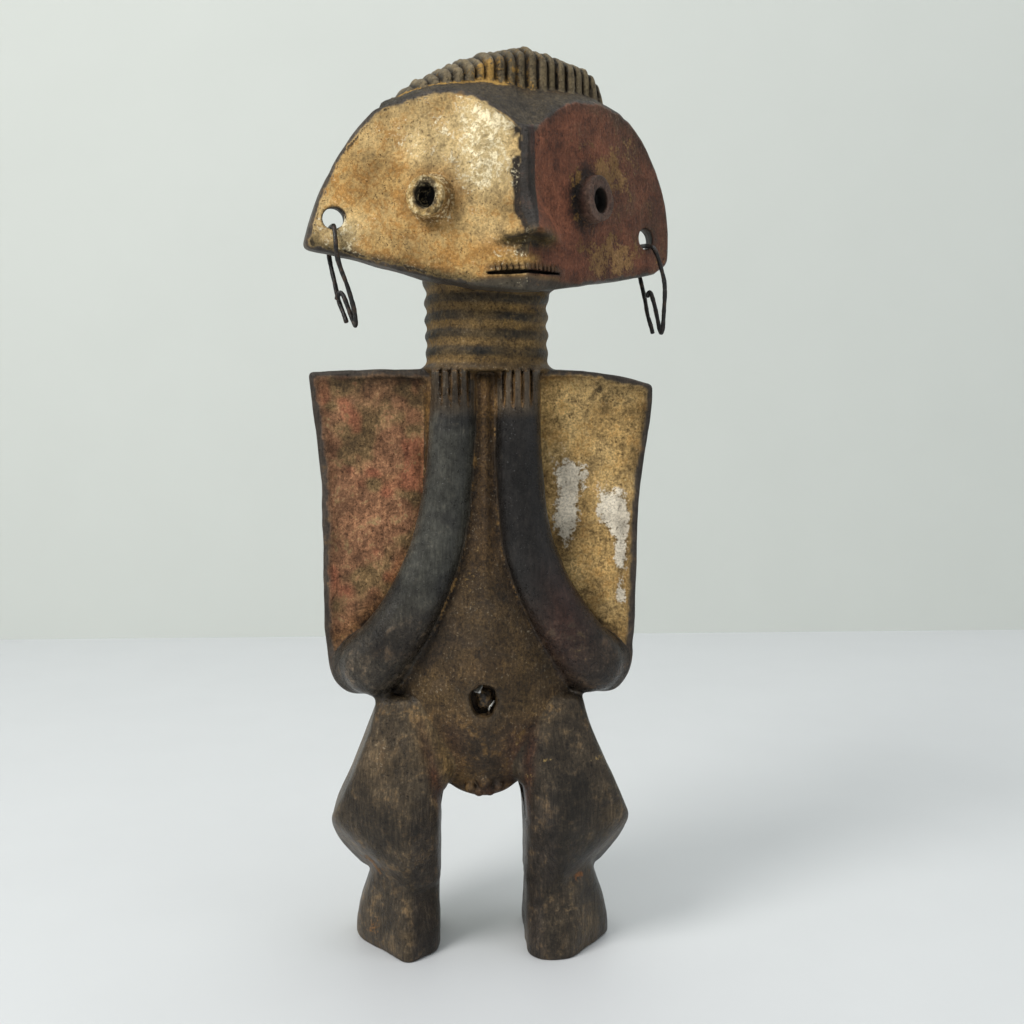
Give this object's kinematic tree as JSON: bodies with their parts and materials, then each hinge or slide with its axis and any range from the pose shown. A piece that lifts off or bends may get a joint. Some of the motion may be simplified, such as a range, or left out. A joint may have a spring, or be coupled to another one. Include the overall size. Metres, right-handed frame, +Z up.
{
  "type": "fertility doll",
  "caption": "Standing carved wooden fertility doll with a wedge-shaped two-colour face, tube eyes, braided hair, broad shoulder plates, hands on the chest, bent knees and hanging wire earrings",
  "frame": {"origin": "on the resting plane under the soles, below the middle of the whole part's box", "axes": "+Z is up from the soles to the crown, -Y is the way the body faces, and +X is the figure's own left"},
  "size_m": [0.1626, 0.1068, 0.4],
  "materials": {
    "dark_wood": "dark brown-black handled wood with a low satin polish",
    "crusted_wood": "brown wood under a dry granular ochre crust",
    "black_wood": "charcoal-black rubbed wood with a soft sheen",
    "white_clay": "matt cream clay paint, worn and mottled with ochre",
    "red_clay": "matt brick-red clay paint, worn to dark wood at the edges",
    "ochre_clay": "matt tan clay with pale patches and dark pits",
    "resin": "dark brown packed resin, dull and cracked",
    "shell": "pale broken shell, dull white",
    "black_wire": "blackened iron wire with a dull satin surface"
  },
  "bodies": {
    "figure": {"skull": "dark_wood", "hair": "crusted_wood", "right_face": "white_clay", "left_face": "red_clay", "brow": "dark_wood", "nose": "dark_wood", "right_eye": "ochre_clay", "left_eye": "red_clay", "neck": "crusted_wood", "torso": "crusted_wood", "right_shoulder": "red_clay", "left_shoulder": "ochre_clay", "right_forearm": "black_wood", "left_forearm": "black_wood", "right_leg": "dark_wood", "left_leg": "dark_wood", "navel_charge": "resin", "navel_shard_upper": "shell", "navel_shard_lower": "shell"},
    "right_earring": {"right_earring": "black_wire"},
    "left_earring": {"left_earring": "black_wire"}
  },
  "joints": [
    {"name": "right_earring_swing", "type": "hinge", "parent": "figure", "child": "right_earring", "pos_m": [-0.0697, -0.0085, 0.3191], "axis": [-0.2419, 0.9703, 0], "range_deg": [-15, 30]},
    {"name": "left_earring_swing", "type": "hinge", "parent": "figure", "child": "left_earring", "pos_m": [0.0697, 0.0263, 0.3161], "axis": [0.2419, -0.9703, 0], "range_deg": [-15, 30]}
  ]
}
